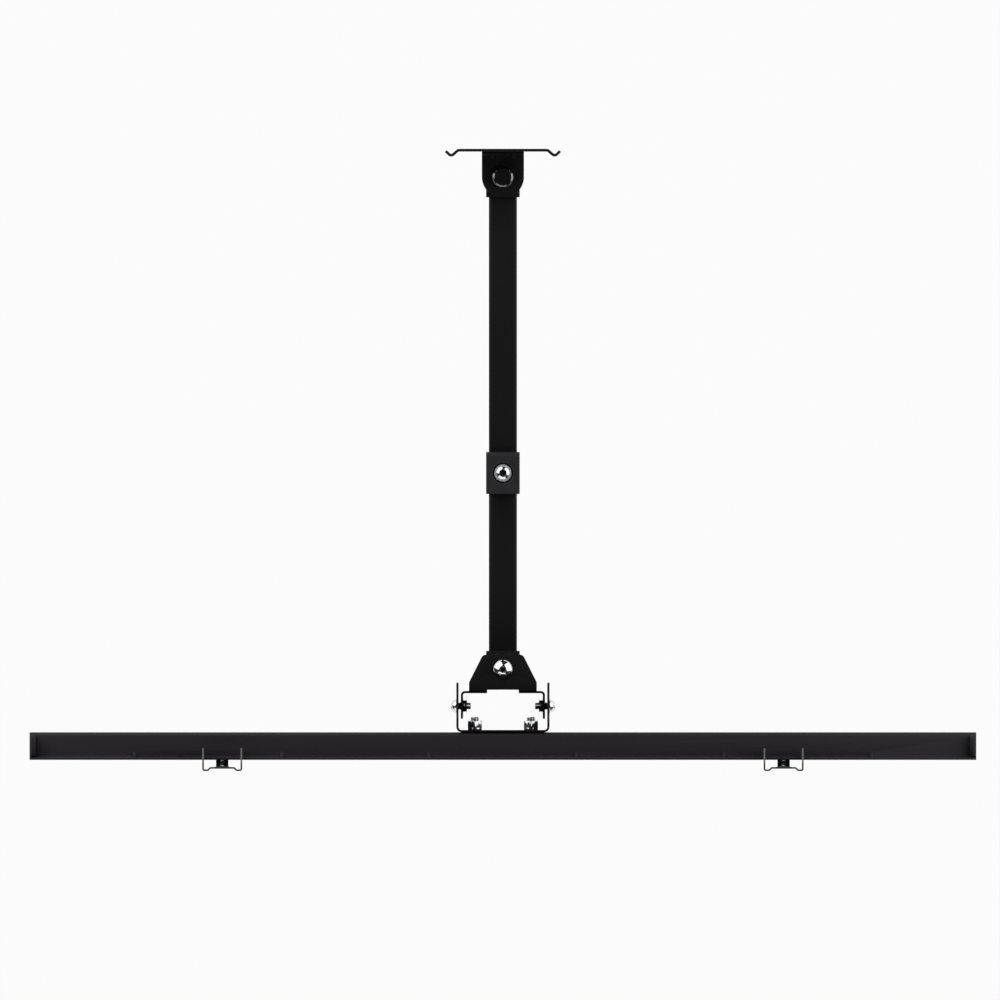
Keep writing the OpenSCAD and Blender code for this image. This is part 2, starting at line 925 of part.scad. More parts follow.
// Moulded stops that close the channel at the ends of both rails
module rail_end_stops() {
    stop_t = 1.5;
    foot_l = 4.3;
    foot_h = 3;
    color(moulding)
        above_and_below()
            left_and_right()
                translate([rail_l / 2, -rail_front_d + rail_t + bend_r, shelf_z])
                    mirror([1, 0, 0]) {
                        cube([stop_t, rail_depth - rail_t - bend_r - 2.5, lip_h - 1]);
                        cube([foot_l, rail_depth - rail_t - bend_r - 2.5, foot_h]);
                    }
}

// Repeats a shape at the four rail bolts, with its upright drawn axis facing the room
module at_rail_bolts(d) {
    for (sx = [-1, 1], sz = [-1, 1])
        translate([sx * rail_bolt_dx / 2, -d, sz * rail_bolt_dz / 2])
            rotate([90, 0, 0])
                children();
}

module rail_bolts() {
    dome_h = 3.4;
    color(chrome)
        at_rail_bolts(rail_back_d + rail_t) {
            button_head(13, dome_h, 0, dome_h);
            shank(rail_bolt_d, rail_t + head_t + rail_washer_t + rail_nut_h + bolt_end);
        }
}

// Narrow spring washers, each with a slanted split
module rail_washers() {
    split_w = 0.8;
    color(chrome)
        at_rail_bolts(rail_back_d - head_t - rail_washer_t)
            difference() {
                washer(rail_nut_af - 0.1, rail_bolt_d + 2 * seated, rail_washer_t);
                translate([0, 0, rail_washer_t / 2])
                    rotate([25, 0, 0])
                        translate([0, -split_w / 2, -rail_nut_af / 2])
                            cube([rail_nut_af, split_w, rail_nut_af]);
            }
}

module rail_nuts() {
    color(chrome)
        at_rail_bolts(rail_back_d - head_t - rail_washer_t - rail_nut_h)
            rotate([0, 0, 30])
                hex_nut(rail_nut_af, rail_nut_h, rail_bolt_d + 2 * seated);
}

// Screen brackets

bracket_back_d = screen_d - bracket_wall_d;
bracket_strip_d = screen_d - 7.5;
hook_top_z = lip_z + 13;
lock_tab_z = -lip_z - 32;
claw_block_h = 18;
lock_screw_d = 4;
lock_screw_depth = rail_front_d + 2.2;

// Plan path of a screen bracket: side walls, front beads and recessed web
module bracket_section() {
    wall_x = bracket_w / 2 - bracket_t / 2;
    bead_d = screen_d - bracket_t / 2;
    web_d = bead_d - 1.7;
    sheet(both_sides([[8.5, -web_d], [10.3, -bead_d], [wall_x, -bead_d],
        [wall_x, -bracket_back_d]]), bracket_t, 0.5);
}

// Side view of a screen bracket: a strip to the full height, a hook that drops over the
// upper lip, a deeper wall between the rails
module bracket_side_view() {
    top = bracket_h / 2;
    front = screen_d + 1;
    back = bracket_back_d;
    strip = bracket_strip_d;
    slot_d = rail_front_d - rail_t - 0.5;
    tooth_z = lip_z - 9;
    wall_top = shelf_z - 18;
    wall_bottom = 12 - shelf_z;
    polygon([
        [-front, -top], [-strip - 2, -top], [-strip, -top + 2],
        [-strip, wall_bottom - 9], [-back, wall_bottom],
        [-back, wall_top], [-strip, wall_top + 9],
        [-strip, lip_z], [-slot_d, lip_z], [-slot_d, tooth_z + 1], [-slot_d + 1, tooth_z],
        [-back - 1, tooth_z], [-back, tooth_z + 2],
        [-back, hook_top_z], [-strip, hook_top_z + 14],
        [-strip, top - 2], [-strip - 2, top], [-front, top]
    ]);
}

// Bolt holes and slots for the screen, in X and Z about the bracket's middle
module screen_holes() {
    half = screen_hole_dz / 2;
    for (side = [-1, 1]) {
        translate([0, side * half])
            circle(d = screen_hole);
        translate([0, side * half / 2])
            circle(d = screen_hole);
    }
    for (z = [35, 150, -35, -165])
        translate([0, z])
            rotate([0, 0, 90])
                slot(46, screen_hole);
}

module screen_bracket(x) {
    tab_w = 11;
    tab_l = 11;
    web_d = screen_d - 1.7 - bracket_t / 2;
    color(rail_steel)
        translate([x, 0, 0]) {
            difference() {
                union() {
                    difference() {
                        intersection() {
                            upright(-bracket_h / 2, bracket_h / 2)
                                bracket_section();
                            across(-bracket_w, bracket_w)
                                bracket_side_view();
                        }
                        outward(screen_d - 5, screen_d + 5)
                            translate([-tab_w / 2 - 0.6, lock_tab_z])
                                square([tab_w + 1.2, tab_l]);
                    }
                    across(-tab_w / 2, tab_w / 2)
                        sheet([[-web_d, lock_tab_z - 4], [-web_d, lock_tab_z],
                            [tab_l - web_d, lock_tab_z]], bracket_t, 0.2);
                }
                outward(screen_d - 5, screen_d + 5)
                    screen_holes();
                translate([0, -lock_screw_depth, lock_tab_z - 5])
                    cylinder(d = lock_screw_d + 2 * running, h = 10);
            }
        }
}

// Screw that hangs in the lock tab and draws the claw down
module lock_screw(x) {
    seat = lock_tab_z - bracket_t / 2;
    head = [5.3, 3];
    tip_z = 1.5 - lip_z;
    color(chrome)
        translate([x, -lock_screw_depth, seat])
            mirror([0, 0, 1]) {
                button_head(head[0], head[1], 2.5, 1.2);
                shank(lock_screw_d, tip_z - seat);
            }
}

// Claw whose tooth stands up behind the lower rail's lip
module claw(x) {
    tooth_back = rail_front_d - rail_t - 5;
    tooth_front = rail_front_d - rail_t - 0.9;
    block_front = screen_d - 1.7 - bracket_t - 0.25;
    block_top = -lip_z - 0.5;
    block_bottom = block_top - claw_block_h;
    tooth_top = claw_travel - lip_z;
    color(black_zinc)
        translate([x, 0, 0])
            difference() {
                across(-claw_w / 2, claw_w / 2)
                    polygon([[-block_front, block_bottom], [-block_front, block_top],
                        [-tooth_front, block_top], [-tooth_front, tooth_top - 1],
                        [1.5 - tooth_front, tooth_top], [-tooth_back, tooth_top],
                        [-tooth_back, block_bottom + 3], [-tooth_back - 3, block_bottom]]);
                translate([0, -lock_screw_depth, block_bottom - 1])
                    cylinder(d = lock_screw_d + 2 * running, h = claw_block_h + 2);
            }
}

module left_bracket() {
    screen_bracket(-bracket_pitch / 2);
}

module left_lock_screw() {
    lock_screw(-bracket_pitch / 2);
}

module left_claw() {
    claw(-bracket_pitch / 2);
}

module right_bracket() {
    screen_bracket(bracket_pitch / 2);
}

module right_lock_screw() {
    lock_screw(bracket_pitch / 2);
}

module right_claw() {
    claw(bracket_pitch / 2);
}

wall_plate();
upper_hinge_ear();
lower_hinge_ear();
wall_pivot_bolt();
wall_pivot_washer();
wall_pivot_nut();
rear_wall_knuckle();
rear_upper_tube();
rear_lower_tube();
wall_pivot_bushes();
elbow_upper_knuckle();
elbow_lower_knuckle();
elbow_upper_cap();
elbow_lower_cap();
elbow_bolt();
elbow_nut();
front_elbow_knuckle();
front_tube();
front_head_knuckle();
elbow_bushes();
head_pivot_bushes();
head_bracket();
head_pivot_bolt();
head_pivot_nut();
tilt_pivot_screws();
tilt_lock_screws();
tilt_nuts();
tilt_bracket();
upper_rail();
lower_rail();
rail_end_stops();
rail_bolts();
rail_washers();
rail_nuts();
left_bracket();
left_lock_screw();
left_claw();
right_bracket();
right_lock_screw();
right_claw();
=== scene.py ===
"""Looks of a full-motion wall mount for a flat television.

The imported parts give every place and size. Each sheet part, tube, moulding and nut gets the
small edge radii that bending, moulding and coating leave on it. Each screw is modelled anew
with its head, its socket and its thread. All lengths are in metres: +X is to the right of
someone who faces the wall, +Y points into the wall and +Z is up.
"""

import json
import logging
import math
from contextlib import contextmanager
from dataclasses import dataclass, replace
from enum import Enum, IntEnum
from typing import Any, Iterator, Sequence, Union

import bpy
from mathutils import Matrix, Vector

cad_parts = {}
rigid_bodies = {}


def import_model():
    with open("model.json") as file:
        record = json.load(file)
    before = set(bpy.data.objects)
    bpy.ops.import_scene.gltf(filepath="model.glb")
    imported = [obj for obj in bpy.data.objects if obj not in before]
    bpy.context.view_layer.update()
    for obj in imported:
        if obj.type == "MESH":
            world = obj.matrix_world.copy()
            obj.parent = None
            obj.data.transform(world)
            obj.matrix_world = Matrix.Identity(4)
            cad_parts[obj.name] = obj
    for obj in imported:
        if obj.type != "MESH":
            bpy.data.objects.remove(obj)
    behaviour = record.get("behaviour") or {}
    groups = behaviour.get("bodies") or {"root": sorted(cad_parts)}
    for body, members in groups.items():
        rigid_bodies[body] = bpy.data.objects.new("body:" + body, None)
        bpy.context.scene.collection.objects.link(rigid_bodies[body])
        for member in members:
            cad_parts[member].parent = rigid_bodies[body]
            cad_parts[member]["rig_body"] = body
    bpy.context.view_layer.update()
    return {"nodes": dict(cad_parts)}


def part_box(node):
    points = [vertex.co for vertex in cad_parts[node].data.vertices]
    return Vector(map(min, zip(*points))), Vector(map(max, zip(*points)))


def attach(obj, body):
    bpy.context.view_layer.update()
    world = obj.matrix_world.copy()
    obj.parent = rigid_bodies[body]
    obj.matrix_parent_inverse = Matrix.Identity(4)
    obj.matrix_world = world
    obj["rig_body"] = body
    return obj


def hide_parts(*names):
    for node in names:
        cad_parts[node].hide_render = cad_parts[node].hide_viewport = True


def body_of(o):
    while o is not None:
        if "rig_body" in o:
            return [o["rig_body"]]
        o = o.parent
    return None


MM = 0.001
WELD_DISTANCE = 2e-6
COPLANAR_DEG = 0.5

# Facets round a circle, and steps along the half section of a screw's head.
LATHE_STEPS = 64
THREAD_STEPS = 24
ENVELOPE_STEPS = 32
DOME_STEPS = 20
RIM_STEPS = 8

# Sizes of a thread, as shares of its pitch.
THREAD_DEPTH = 0.6
THREAD_CREST = 0.12
THREAD_LEAD_IN = 0.8
THREAD_OVERLAP = 0.2
THREAD_SMOOTH_DEG = 40.0

# A face whose normal has less Z than this counts as the wall of a socket.
WALL_NORMAL_Z = 0.3

log = logging.getLogger("wall_mount")

Point = tuple[float, float]
Colour = tuple[float, float, float]
Number = Union["Value", float]
WHITE: Colour = (1.0, 1.0, 1.0)


class Coat(Enum):
    """Finishes of the mount. What stands before a dot is the slot in the record."""

    POWDER = "powder_coat"
    RAIL = "rail_coat"
    # Glossier copy of the rail coat: the gloss is real, and its lighter colour is a painted
    # highlight on the bracket's edges.
    BRACKET_SATIN_PAINTED_LIGHT = "rail_coat.satin"
    MOULDING = "moulding"
    # Lighter copy of the moulding: painted light that offsets the shade the end stops' own walls
    # cast on them.
    MOULDING_PAINTED_LIGHT = "moulding.pale"
    CLAW = "claw_moulding"
    NYLON = "nylon"
    CHROME = "chrome_plate"
    BRIGHT_ZINC = "bright_zinc"
    DULL_ZINC = "bright_zinc.dull"
    BLACK_ZINC = "black_zinc"

    @property
    def slot(self) -> str:
        """Slot of the record that the finish belongs to."""
        return self.value.split(".")[0]


class Zone(IntEnum):
    """Parts of a screw that differ in finish, by their material slot on the mesh; the socket's
    black zinc is painted shade in its recess.
    """

    CROWN = 0
    # Black zinc inside the socket paints the shade of its recess.
    SOCKET = 1
    FLANGE = 2


class Facing(Enum):
    """Ways that the head of a screw can face, as the turn that brings it there from +Z."""

    UP = (0.0, 0.0, 0.0)
    DOWN = (math.pi, 0.0, 0.0)
    RIGHT = (0.0, math.pi / 2, 0.0)
    LEFT = (0.0, -math.pi / 2, 0.0)
    ROOM = (math.pi / 2, 0.0, 0.0)


class Value:
    """A number that varies over a surface, with arithmetic that adds Math nodes."""

    def __init__(self, graph: "Graph", socket: bpy.types.NodeSocket) -> None:
        """Wraps one output socket of a graph."""
        self.graph = graph
        self.socket = socket

    def _math(self, operation: str, first: Number, second: Number) -> "Value":
        """Adds a Math node.

        Args:
            operation: Name of the node's operation.
            first: Left-hand number.
            second: Right-hand number.

        Returns:
            The node's result.
        """
        node = self.graph.add("ShaderNodeMath", {"operation": operation}, {0: first, 1: second})
        return Value(self.graph, node.outputs[0])

    def __add__(self, other: Number) -> "Value":
        """Sum of two numbers."""
        return self._math("ADD", self, other)

    def __radd__(self, other: Number) -> "Value":
        """Sum with a plain number on the left."""
        return self._math("ADD", other, self)

    def __sub__(self, other: Number) -> "Value":
        """Difference of two numbers."""
        return self._math("SUBTRACT", self, other)

    def __rsub__(self, other: Number) -> "Value":
        """Difference with a plain number on the left."""
        return self._math("SUBTRACT", other, self)

    def __mul__(self, other: Number) -> "Value":
        """Product of two numbers."""
        return self._math("MULTIPLY", self, other)

    def __rmul__(self, other: Number) -> "Value":
        """Product with a plain number on the left."""
        return self._math("MULTIPLY", other, self)

    def __truediv__(self, other: Number) -> "Value":
        """Quotient of two numbers."""
        return self._math("DIVIDE", self, other)

    def __rtruediv__(self, other: Number) -> "Value":
        """Quotient with a plain number on the left."""
        return self._math("DIVIDE", other, self)

    def clamped(self) -> "Value":
        """The number held between 0 and 1."""
        return self._math("MINIMUM", self._math("MAXIMUM", self, 0.0), 1.0)


class Graph:
    """Nodes of one material or of the world."""

    def __init__(self, owner: Union[bpy.types.Material, bpy.types.World]) -> None:
        """Empties the owner's node tree.

        Args:
            owner: Material or world whose nodes are built.
        """
        owner.use_nodes = True
        self.tree = owner.node_tree
        self.tree.nodes.clear()

    def add(
        self,
        kind: str,
        settings: Union[dict[str, Any], None] = None,
        inputs: Union[dict[Union[int, str], Any], None] = None,
    ) -> bpy.types.Node:
        """Adds a node, sets it up and fills its sockets.

        Args:
            kind: Type name of the node.
            settings: Properties of the node.
            inputs: Values, or Value and socket links, by the socket's name or number.

        Returns:
            The new node.
        """
        node = self.tree.nodes.new(kind)
        for name, setting in (settings or {}).items():
            setattr(node, name, setting)
        for key, given in (inputs or {}).items():
            socket = node.inputs[key]
            source = given.socket if isinstance(given, Value) else given
            if isinstance(source, bpy.types.NodeSocket):
                self.tree.links.new(source, socket)
            else:
                socket.default_value = source
        return node

    def places(self) -> bpy.types.NodeSocket:
        """Object coordinates."""
        return self.add("ShaderNodeTexCoord").outputs["Object"]

    def noise(
        self, size: float, detail: float = 2.0, stretch: Sequence[float] = (1, 1, 1)
    ) -> Value:
        """Soft noise between 0 and 1.

        Args:
            size: Width of one grain, in metres.
            detail: Number of finer layers.
            stretch: Scale of the pattern along each axis.

        Returns:
            The noise.
        """
        stretched = self.add(
            "ShaderNodeMapping", inputs={"Vector": self.places(), "Scale": tuple(stretch)}
        )
        node = self.add(
            "ShaderNodeTexNoise",
            inputs={"Vector": stretched.outputs[0], "Scale": 1 / size, "Detail": detail},
        )
        return Value(self, node.outputs[0])

    def cells(self, size: float) -> Value:
        """Distance to the middle of the nearest cell, for a pebbled grain.

        Args:
            size: Width of one cell, in metres.

        Returns:
            The distance, from 0 in the middle to about 1 at the rim.
        """
        node = self.add(
            "ShaderNodeTexVoronoi",
            {"feature": "F1"},
            {"Vector": self.places(), "Scale": 1 / size},
        )
        return Value(self, node.outputs["Distance"])

    def blend(self, share: Value, low: Colour, high: Colour) -> bpy.types.NodeSocket:
        """Colour between two others.

        Args:
            share: 0 for the low colour and 1 for the high one.
            low: Colour at 0.
            high: Colour at 1.

        Returns:
            The blended colour.
        """
        # Inputs 6 and 7 are the node's two colours, and output 2 is their mix.
        node = self.add(
            "ShaderNodeMix",
            {"data_type": "RGBA"},
            {0: share, 6: (*low, 1.0), 7: (*high, 1.0)},
        )
        return node.outputs[2]

    def relief(self, height: Value, depth: float) -> bpy.types.NodeSocket:
        """Normal of a surface with a fine relief.

        Args:
            height: Height between 0 and 1.
            depth: Real height of the relief, in metres.

        Returns:
            The bent normal.
        """
        node = self.add("ShaderNodeBump", inputs={"Height": height, "Distance": depth})
        return node.outputs["Normal"]

    def surface(self, shader: bpy.types.NodeSocket, kind: str) -> None:
        """Joins a shader to the output node of that kind."""
        self.add(kind, inputs={"Surface": shader})


def shaded(colour: Colour, factor: float) -> Colour:
    """A colour made lighter or darker by a factor."""
    return tuple(channel * factor for channel in colour)


@dataclass(frozen=True)
class Finish:
    """What every finish of the mount has: a colour, a gloss and a fine relief.

    Attributes:
        coat: Name of the finish.
        colour: Base colour, linear.
        roughness: Mean roughness.
        specular: Specular level of the surface.
        metallic: 1 for bare metal and 0 for coats and plastics.
        grain: Width of one grain of the relief, in metres.
        depth: Height of the relief, in metres.
        mottle: How far the colour and gloss vary in patches, from 0 to 1.
        patch: Width of one patch, in grains.
    """

    coat: Coat
    colour: Colour
    roughness: float
    specular: float = 0.5
    metallic: float = 0.0
    grain: float = 0.8 * MM
    depth: float = 0.02 * MM
    mottle: float = 0.08
    patch: float = 60.0

    def pattern(self, graph: Graph) -> Value:
        """Relief of the finish, from 0 to 1."""
        return graph.noise(self.grain, 3.0)

    def patches(self, graph: Graph) -> Value:
        """Broad patches in which the colour and the gloss drift."""
        return graph.noise(self.patch * self.grain, 3.0)

    def material(self) -> bpy.types.Material:
        """Builds the material.

        Returns:
            A material with a Principled surface.
        """
        owner = bpy.data.materials.new(self.coat.value)
        graph = Graph(owner)
        pattern = self.pattern(graph)
        patches = self.patches(graph)
        drift = (0.5 * pattern + 0.5 * patches).clamped()
        principled = graph.add(
            "ShaderNodeBsdfPrincipled",
            inputs={
                "Base Color": graph.blend(
                    drift,
                    shaded(self.colour, 1 - self.mottle),
                    shaded(self.colour, 1 + self.mottle),
                ),
                "Roughness": self.roughness + self.mottle * (patches - 0.5),
                "Metallic": self.metallic,
                "Specular IOR Level": self.specular,
                "Normal": graph.relief(pattern, self.depth),
            },
        )
        graph.surface(principled.outputs[0], "ShaderNodeOutputMaterial")
        return owner


@dataclass(frozen=True)
class PowderCoat(Finish):
    """Stoved powder: an orange-peel skin under a fine texture.

    Attributes:
        peel: Width of one dimple of the orange peel, in metres.
        peel_share: Share of the relief that is orange peel.
    """

    peel: float = 2.4 * MM
    peel_share: float = 0.35

    def pattern(self, graph: Graph) -> Value:
        """Fine texture that rides on the broader orange peel."""
        texture = (1 - self.peel_share) * graph.noise(self.grain, 3.0)
        return texture + self.peel_share * graph.noise(self.peel, 1.0)


@dataclass(frozen=True)
class GrainedMoulding(Finish):
    """Plastic moulded against a spark-eroded tool, with a pebbled grain.

    Attributes:
        fine_share: Share of the relief that is the finer noise.
    """

    fine_share: float = 0.3

    def pattern(self, graph: Graph) -> Value:
        """Pebbles with a finer noise on them."""
        pebbles = (1 - self.fine_share) * (1 - graph.cells(self.grain))
        return pebbles + self.fine_share * graph.noise(self.grain / 3, 2.0)


@dataclass(frozen=True)
class FilledMoulding(Finish):
    """Fibre-filled plastic, with faint streaks along its flow.

    Attributes:
        streak: Length of a streak over its width.
    """

    streak: float = 6.0

    def pattern(self, graph: Graph) -> Value:
        """Fibres that lie mostly along Z."""
        return graph.noise(self.grain, 3.0, (1.0, 1.0, 1 / self.streak))


@dataclass(frozen=True)
class Plating(Finish):
    """Plated steel.

    Attributes:
        wave: Width of one wave of the surface, in grains.
    """

    wave: float = 8.0

    def pattern(self, graph: Graph) -> Value:
        """Fine turning and polishing marks, with a broader waviness."""
        marks = 0.5 * graph.noise(self.grain, 4.0)
        return marks + 0.5 * graph.noise(self.wave * self.grain, 1.0)


FINISHES: tuple[Finish, ...] = (
    PowderCoat(Coat.POWDER, (0.0085, 0.0076, 0.0086), roughness=0.50, specular=0.10),
    PowderCoat(Coat.RAIL, (0.0245, 0.0217, 0.0253), roughness=0.42, specular=0.15,
               grain=0.6 * MM, depth=0.010 * MM),
    # Satin bracket copy: real gloss, with a lighter colour as a painted highlight.
    PowderCoat(Coat.BRACKET_SATIN_PAINTED_LIGHT, (0.034, 0.032, 0.035), roughness=0.30, specular=0.6,
               grain=0.6 * MM, depth=0.006 * MM),
    GrainedMoulding(Coat.MOULDING, (0.0185, 0.0170, 0.0192), roughness=0.48, specular=0.25,
                    grain=0.55 * MM, depth=0.03 * MM, mottle=0.12),
    # Lighter copy of the moulding, painted light for the shaded end stops.
    GrainedMoulding(Coat.MOULDING_PAINTED_LIGHT, (0.034, 0.031, 0.0355), roughness=0.48, specular=0.25,
                    grain=0.55 * MM, depth=0.03 * MM, mottle=0.12),
    FilledMoulding(Coat.CLAW, (0.006, 0.006, 0.006), roughness=0.38, specular=0.4,
                   grain=0.25 * MM, depth=0.012 * MM, mottle=0.12),
    FilledMoulding(Coat.NYLON, (0.035, 0.035, 0.037), roughness=0.5, specular=0.4,
                   grain=0.3 * MM, depth=0.01 * MM),
    Plating(Coat.CHROME, (0.72, 0.73, 0.75), roughness=0.09, metallic=1.0, grain=0.5 * MM,
            depth=0.0015 * MM, mottle=0.03),
    Plating(Coat.BRIGHT_ZINC, (0.46, 0.47, 0.48), roughness=0.16, metallic=1.0,
            grain=0.4 * MM, depth=0.006 * MM, mottle=0.08),
    Plating(Coat.DULL_ZINC, (0.66, 0.67, 0.68), roughness=0.58, metallic=1.0,
            grain=0.3 * MM, depth=0.02 * MM, mottle=0.1),
    Plating(Coat.BLACK_ZINC, (0.17, 0.17, 0.175), roughness=0.12, metallic=1.0,
            grain=0.5 * MM, depth=0.002 * MM, mottle=0.05),
)


def deselect() -> None:
    """Leaves nothing selected."""
    bpy.ops.object.select_all(action="DESELECT")


def solo(piece: bpy.types.Object) -> None:
    """Selects one object and makes it the active one.

    Args:
        piece: The object.
    """
    deselect()
    piece.select_set(True)
    bpy.context.view_layer.objects.active = piece


@contextmanager
def editing(piece: bpy.types.Object) -> Iterator[None]:
    """Holds a piece in edit mode with all of it selected.

    Args:
        piece: The mesh object to edit.
    """
    solo(piece)
    bpy.ops.object.mode_set(mode="EDIT")
    bpy.ops.mesh.select_all(action="SELECT")
    yield
    bpy.ops.object.mode_set(mode="OBJECT")


def modified(piece: bpy.types.Object, kind: str, **settings: Any) -> None:
    """Adds one modifier to a piece and applies it.

    Args:
        piece: The piece to change.
        kind: Type of the modifier.
        settings: Properties of the modifier.
    """
    solo(piece)
    bpy.ops.object.modifier_add(type=kind)
    modifier = piece.modifiers[-1]
    for name, setting in settings.items():
        setattr(modifier, name, setting)
    bpy.ops.object.modifier_apply(modifier=modifier.name)


def rounded_edges(piece: bpy.types.Object, radius: float, sharp_deg: float = 32.0) -> None:
    """Rounds every sharp edge of a piece and smooths its curved faces.

    Args:
        piece: The piece to finish.
        radius: Radius of the rounding.
        sharp_deg: Edges that turn by more than this many degrees are rounded.
    """
    if radius > 0:
        modified(
            piece,
            "BEVEL",
            width=radius,
            segments=2,
            limit_method="ANGLE",
            angle_limit=math.radians(sharp_deg),
            use_clamp_overlap=False,
            miter_outer="MITER_ARC",
        )
    solo(piece)
    bpy.ops.object.shade_smooth_by_angle(angle=math.radians(sharp_deg))


def drawn_line(name: str, points: Sequence[Point]) -> bpy.types.Object:
    """Draws a line in the XZ plane, one extruded point after another.

    Args:
        name: Name of the new object.
        points: Radius and height of each point.

    Returns:
        The object, with its origin on the world's.
    """
    deselect()
    bpy.ops.mesh.primitive_plane_add(size=MM)
    line = bpy.context.active_object
    line.name = name
    with editing(line):
        bpy.ops.mesh.merge(type="CENTER")
        bpy.ops.transform.translate(value=(points[0][0], 0, points[0][1]))
        for before, after in zip(points, points[1:]):
            step = (after[0] - before[0], 0, after[1] - before[1])
            bpy.ops.mesh.extrude_vertices_move(TRANSFORM_OT_translate={"value": step})
    return line


def closed_up(piece: bpy.types.Object) -> None:
    """Merges doubled points and turns every face outwards.

    Args:
        piece: The piece to close.
    """
    with editing(piece):
        bpy.ops.mesh.remove_doubles(threshold=WELD_DISTANCE)
        bpy.ops.mesh.normals_make_consistent(inside=False)


def turned(name: str, profile: Sequence[Point], steps: int = LATHE_STEPS) -> bpy.types.Object:
    """Turns a profile round the Z axis, as on a lathe.

    Args:
        name: Name of the new object.
        profile: Radius and height of each point, from axis to axis.
        steps: Facets round the circle.

    Returns:
        The turned solid.
    """
    piece = drawn_line(name, profile)
    with editing(piece):
        bpy.ops.mesh.spin(steps=steps, angle=math.tau, center=(0, 0, 0), axis=(0, 0, 1))
    closed_up(piece)
    return piece


def carved(piece: bpy.types.Object, tool: bpy.types.Object, operation: str) -> None:
    """Cuts a piece with another solid, or joins the two, and removes that solid.

    Args:
        piece: The piece to change.
        tool: The solid that cuts or joins.
        operation: DIFFERENCE, INTERSECT or UNION.
    """
    modified(piece, "BOOLEAN", operation=operation, object=tool, solver="EXACT")
    bpy.data.objects.remove(tool)


def threaded(
    name: str, radius: float, pitch: float, top: float, tip: float
) -> bpy.types.Object:
    """Winds a thread whose end has a lead-in chamfer.

    Args:
        name: Name of the new object.
        radius: Outer radius of the thread.
        pitch: Rise of one turn.
        top: Height of the upper end.
        tip: Height of the lower end.

    Returns:
        The closed threaded solid.
    """
    # The thread is wound past both of its ends, and then cut off square there.
    root = radius - THREAD_DEPTH * pitch
    start = tip - 1.5 * pitch
    flank = (1 - THREAD_CREST) / 2 * pitch
    groove = [(root, start), (radius, start + flank), (radius, start + pitch - flank),
              (root, start + pitch)]
    piece = drawn_line(name, groove)
    turns = math.ceil((top - tip) / pitch) + 3
    modified(piece, "SCREW", steps=THREAD_STEPS, render_steps=THREAD_STEPS,
             screw_offset=pitch, iterations=turns, use_merge_vertices=False)
    with editing(piece):
        bpy.ops.mesh.remove_doubles(threshold=WELD_DISTANCE)
        bpy.ops.mesh.bisect(plane_co=(0, 0, tip), plane_no=(0, 0, 1), use_fill=True,
                            clear_inner=True)
        bpy.ops.mesh.select_all(action="SELECT")
        bpy.ops.mesh.bisect(plane_co=(0, 0, top), plane_no=(0, 0, 1), use_fill=True,
                            clear_outer=True)
    closed_up(piece)
    chamfer = THREAD_LEAD_IN * pitch
    reach = radius + pitch
    envelope = turned("envelope", [(0, tip - pitch), (radius - chamfer - pitch, tip - pitch),
                                   (reach, tip + chamfer + reach - radius), (reach, top + pitch),
                                   (0, top + pitch)], ENVELOPE_STEPS)
    carved(piece, envelope, "INTERSECT")
    return piece


def arc(radius: float, centre_z: float, r0: float, r1: float, steps: int) -> list[Point]:
    """Points of a profile on a sphere, from radius r0 to radius r1.

    Args:
        radius: Radius of the sphere.
        centre_z: Height of its middle.
        r0: Distance from the axis where the arc starts.
        r1: Distance from the axis where it ends.
        steps: Number of steps between the two.

    Returns:
        The points, upper half of the sphere.
    """
    a0, a1 = math.asin(r0 / radius), math.asin(r1 / radius)
    angles = [a0 + (a1 - a0) * k / steps for k in range(steps + 1)]
    return [(radius * math.sin(a), centre_z + radius * math.cos(a)) for a in angles]


